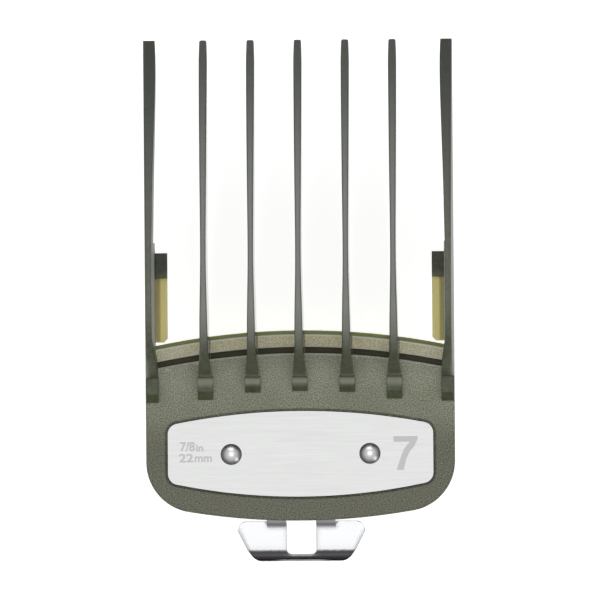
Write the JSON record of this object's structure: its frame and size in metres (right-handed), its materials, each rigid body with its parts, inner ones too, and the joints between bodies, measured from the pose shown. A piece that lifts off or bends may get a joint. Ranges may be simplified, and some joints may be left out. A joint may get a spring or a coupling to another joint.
{
  "type": "clipper guard comb",
  "caption": "Hair clipper guard comb: moulded plate with tall teeth, riveted steel face plate and a spring clip that snaps behind the blade.",
  "frame": {"origin": "on the centre line at the bottom edge of the comb's plate, on the plane where the clipper's blade lies, where the blade slides in", "axes": "+X across the comb, +Y from the spring clip towards the tips of the teeth, +Z from the blade seat towards the skin; it lies on a table on its side walls and clip, skin side up"},
  "size_m": [0.049, 0.0828, 0.0267],
  "materials": {
    "comb_plastic": "fine-textured olive-grey moulding with pale flecks",
    "face_steel": "brushed along its length",
    "clip_steel": "polished spring steel",
    "rivet_steel": "polished"
  },
  "bodies": {
    "comb": {"comb_body": "comb_plastic", "face_plate": "face_steel", "clip_foot": "clip_steel", "rivet_left": "rivet_steel", "rivet_right": "rivet_steel"},
    "clip_spring": {"clip_tab": "clip_steel"}
  },
  "joints": [
    {"name": "clip_flex", "type": "hinge", "parent": "comb", "child": "clip_spring", "pos_m": [0, 0.0006, 0.00075], "axis": [-1, 0, 0], "range_deg": [0, 12], "stiffness_Nm_per_rad": 0.25}
  ]
}
